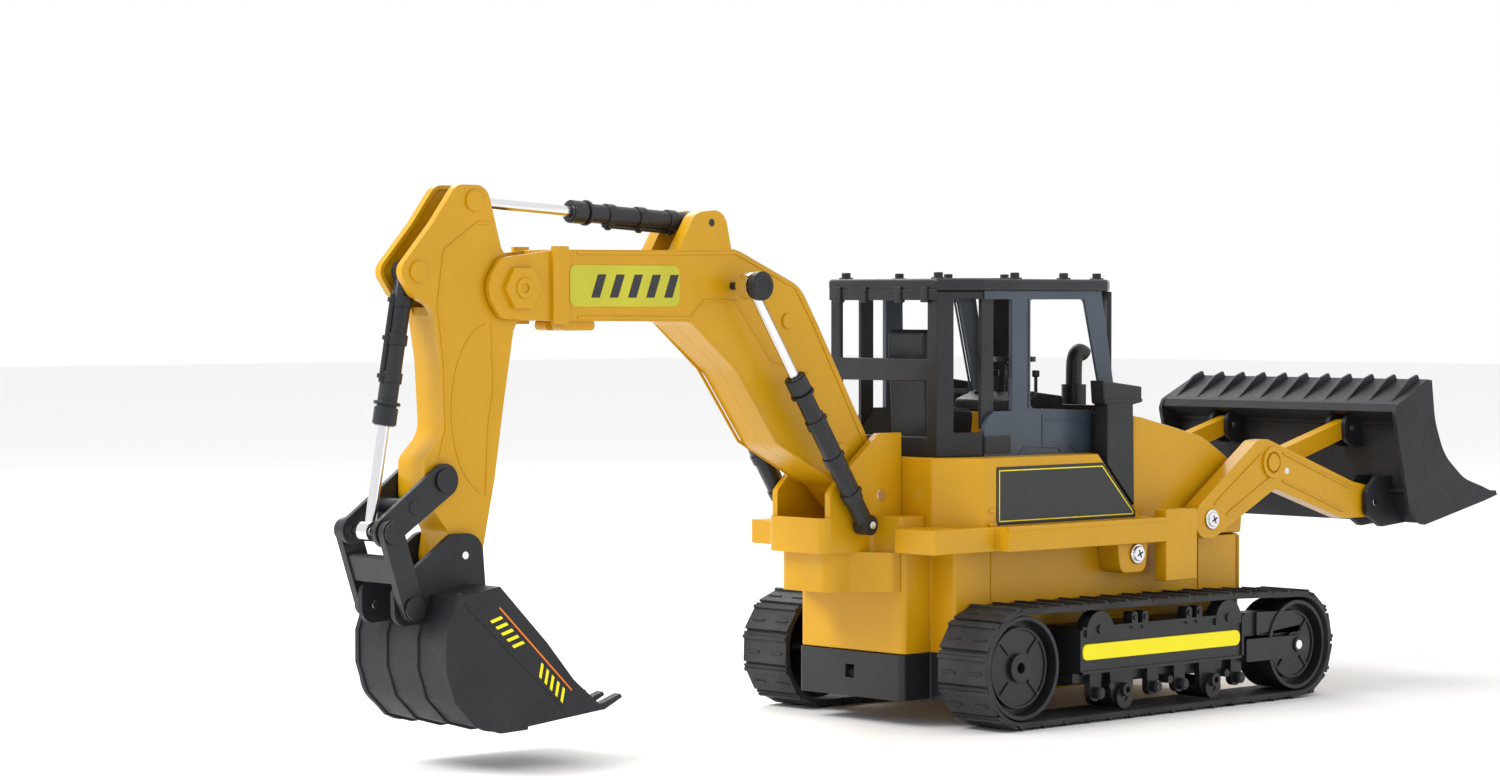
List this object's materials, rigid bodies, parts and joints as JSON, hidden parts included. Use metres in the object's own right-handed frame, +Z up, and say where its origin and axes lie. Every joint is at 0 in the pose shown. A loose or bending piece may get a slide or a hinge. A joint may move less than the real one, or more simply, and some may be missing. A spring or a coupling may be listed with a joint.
{
  "type": "toy backhoe loader",
  "caption": "Tracked toy backhoe loader with a hinged boom, stick and digging scoop at the back, a lifting loader bucket at the front and an open cab.",
  "frame": {"origin": "on the ground, under the middle of the whole machine's length and width", "axes": "+X towards the loader bucket, +Y to the left side, +Z up"},
  "size_m": [0.7206, 0.169, 0.257],
  "materials": {
    "yellow_plastic": "satin moulded",
    "black_plastic": "fine grained",
    "slate_plastic": "satin",
    "plated_steel": "bright plated",
    "track_rubber": "matt",
    "inner_plastic": "plain",
    "board": "plain"
  },
  "bodies": {
    "chassis": {"arm_motors": "inner_plastic", "battery_case": "black_plastic", "battery_pack": "inner_plastic", "boom_bracket": "yellow_plastic", "boom_bracket_pins": "plated_steel", "cab_front_frame": "black_plastic", "cab_rear_frame": "black_plastic", "cab_roof": "black_plastic", "cab_sides": "slate_plastic", "cab_tub": "yellow_plastic", "chrome_screws": "plated_steel", "console": "black_plastic", "drive_gearboxes": "inner_plastic", "exhaust_stack": "black_plastic", "fenders": "yellow_plastic", "hood": "yellow_plastic", "idler_pins": "plated_steel", "intake_columns": "black_plastic", "lower_hull": "yellow_plastic", "receiver_board": "board", "screw_bosses": "yellow_plastic", "seat": "black_plastic", "steering_wheel": "black_plastic", "track_belt_left": "track_rubber", "track_belt_right": "track_rubber", "track_covers": "black_plastic", "track_plates": "black_plastic", "track_rollers": "black_plastic", "upper_body": "yellow_plastic"},
    "drive_right": {"drive_wheel_right": "black_plastic", "drive_axle_right": "plated_steel"},
    "drive_left": {"drive_wheel_left": "black_plastic", "drive_axle_left": "plated_steel"},
    "idler_right": {"idler_wheel_right": "black_plastic"},
    "idler_left": {"idler_wheel_left": "black_plastic"},
    "boom": {"boom_shell_right": "yellow_plastic", "boom_shell_left": "yellow_plastic", "boom_pins": "black_plastic"},
    "stick": {"stick_shell_right": "yellow_plastic", "stick_shell_left": "yellow_plastic", "stick_pins": "plated_steel"},
    "boom_ram_right_barrel": {"boom_ram_right_barrel": "black_plastic"},
    "boom_ram_right_rod": {"boom_ram_right_rod": "plated_steel"},
    "boom_ram_left_barrel": {"boom_ram_left_barrel": "black_plastic"},
    "boom_ram_left_rod": {"boom_ram_left_rod": "plated_steel"},
    "stick_ram_barrel": {"stick_ram_barrel": "black_plastic"},
    "stick_ram_rod": {"stick_ram_rod": "plated_steel"},
    "scoop_ram_barrel": {"scoop_ram_barrel": "black_plastic"},
    "scoop_ram_rod": {"scoop_ram_rod": "plated_steel"},
    "rocker": {"rocker": "black_plastic", "rocker_link_pins": "plated_steel"},
    "scoop_link": {"scoop_link": "black_plastic"},
    "scoop": {"scoop": "black_plastic", "scoop_link_pins": "plated_steel"},
    "loader_arms": {"loader_arms": "yellow_plastic", "loader_arm_pins": "plated_steel"},
    "loader_bucket": {"loader_bucket": "black_plastic", "strut_pins": "plated_steel"},
    "tilt_struts": {"tilt_struts": "yellow_plastic"},
    "power_switch": {"power_switch": "black_plastic"}
  },
  "joints": [
    {"name": "drive_right_spin", "type": "hinge", "parent": "chassis", "child": "drive_right", "pos_m": [-0.025, -0.0685, 0.03], "axis": [0, 1, 0], "continuous": true},
    {"name": "drive_left_spin", "type": "hinge", "parent": "chassis", "child": "drive_left", "pos_m": [-0.025, 0.0685, 0.03], "axis": [0, 1, 0], "continuous": true},
    {"name": "idler_right_spin", "type": "hinge", "parent": "chassis", "child": "idler_right", "pos_m": [0.184, -0.0685, 0.028], "axis": [0, 1, 0], "continuous": true},
    {"name": "idler_left_spin", "type": "hinge", "parent": "chassis", "child": "idler_left", "pos_m": [0.184, 0.0685, 0.028], "axis": [0, 1, 0], "continuous": true},
    {"name": "boom_lift", "type": "hinge", "parent": "chassis", "child": "boom", "pos_m": [-0.059, 0, 0.112], "axis": [0, 1, 0], "range_deg": [-4, 30]},
    {"name": "stick_swing", "type": "hinge", "parent": "boom", "child": "stick", "pos_m": [-0.277, 0, 0.2115], "axis": [0, 1, 0], "range_deg": [-12, 45]},
    {"name": "scoop_curl", "type": "hinge", "parent": "stick", "child": "scoop", "pos_m": [-0.3104, 0, 0.0944], "axis": [0, 1, 0], "range_deg": [-10, 50]},
    {"name": "rocker_swing", "type": "hinge", "parent": "stick", "child": "rocker", "pos_m": [-0.3215, 0, 0.1275], "axis": [0, 1, 0], "range_deg": [-10.5, 50.5]},
    {"name": "link_swing", "type": "hinge", "parent": "rocker", "child": "scoop_link", "pos_m": [-0.353, 0, 0.1062], "axis": [0, 1, 0], "range_deg": [-50.5, 10.5]},
    {"name": "boom_ram_right_swing", "type": "hinge", "parent": "chassis", "child": "boom_ram_right_barrel", "pos_m": [-0.0755, -0.0255, 0.0985], "axis": [0, 1, 0], "range_deg": [-4.32, 29.14]},
    {"name": "boom_ram_right_stroke", "type": "slide", "parent": "boom_ram_right_barrel", "child": "boom_ram_right_rod", "axis": [-0.5505, 0, 0.8348], "range_m": [-0.0017, 0.01082]},
    {"name": "boom_ram_left_swing", "type": "hinge", "parent": "chassis", "child": "boom_ram_left_barrel", "pos_m": [-0.0755, 0.0255, 0.0985], "axis": [0, 1, 0], "range_deg": [-4.32, 29.14]},
    {"name": "boom_ram_left_stroke", "type": "slide", "parent": "boom_ram_left_barrel", "child": "boom_ram_left_rod", "axis": [-0.5505, 0, 0.8348], "range_m": [-0.0017, 0.01082]},
    {"name": "stick_ram_swing", "type": "hinge", "parent": "boom", "child": "stick_ram_barrel", "pos_m": [-0.164, 0, 0.2425], "axis": [0, 1, 0], "range_deg": [-2.09, 6.46]},
    {"name": "stick_ram_stroke", "type": "slide", "parent": "stick_ram_barrel", "child": "stick_ram_rod", "axis": [-0.9985, 0, 0.0543], "range_m": [-0.03301, 0.00902]},
    {"name": "scoop_ram_swing", "type": "hinge", "parent": "stick", "child": "scoop_ram_barrel", "pos_m": [-0.333, 0, 0.2187], "axis": [0, 1, 0], "range_deg": [-2.17, 8.84]},
    {"name": "scoop_ram_stroke", "type": "slide", "parent": "scoop_ram_barrel", "child": "scoop_ram_rod", "axis": [-0.175, 0, -0.9846], "range_m": [-0.02898, 0.00604]},
    {"name": "loader_lift", "type": "hinge", "parent": "chassis", "child": "loader_arms", "pos_m": [0.138, 0, 0.094], "axis": [0, -1, 0], "range_deg": [-25, 30]},
    {"name": "loader_tilt", "type": "hinge", "parent": "loader_arms", "child": "loader_bucket", "pos_m": [0.2705, 0, 0.098], "axis": [0, -1, 0], "range_deg": [-12, 8]},
    {"name": "strut_swing", "type": "hinge", "parent": "loader_bucket", "child": "tilt_struts", "pos_m": [0.276, 0, 0.1375], "axis": [0, -1, 0], "range_deg": [-6.84, 10.02]},
    {"name": "switch_slide", "type": "slide", "parent": "chassis", "child": "power_switch", "axis": [1, 0, 0], "range_m": [0, 0.005]}
  ],
  "couplings": [
    {"joint": "idler_right_spin", "follows": "drive_right_spin", "ratio": 1.084},
    {"joint": "idler_left_spin", "follows": "drive_left_spin", "ratio": 1.084},
    {"joint": "rocker_swing", "follows": "scoop_curl", "ratio": 1},
    {"joint": "link_swing", "follows": "scoop_curl", "ratio": -1},
    {"joint": "boom_ram_right_swing", "follows": "boom_lift", "ratio": 0.95457},
    {"joint": "boom_ram_right_stroke", "follows": "boom_lift", "m_per_rad": 0.020099},
    {"joint": "boom_ram_left_swing", "follows": "boom_lift", "ratio": 0.95457},
    {"joint": "boom_ram_left_stroke", "follows": "boom_lift", "m_per_rad": 0.020099},
    {"joint": "stick_ram_swing", "follows": "stick_swing", "ratio": 0.13242},
    {"joint": "stick_ram_stroke", "follows": "stick_swing", "m_per_rad": -0.041647},
    {"joint": "scoop_ram_swing", "follows": "scoop_curl", "ratio": 0.16687},
    {"joint": "scoop_ram_stroke", "follows": "scoop_curl", "m_per_rad": -0.032864},
    {"joint": "strut_swing", "follows": "loader_tilt", "ratio": -0.79288}
  ]
}
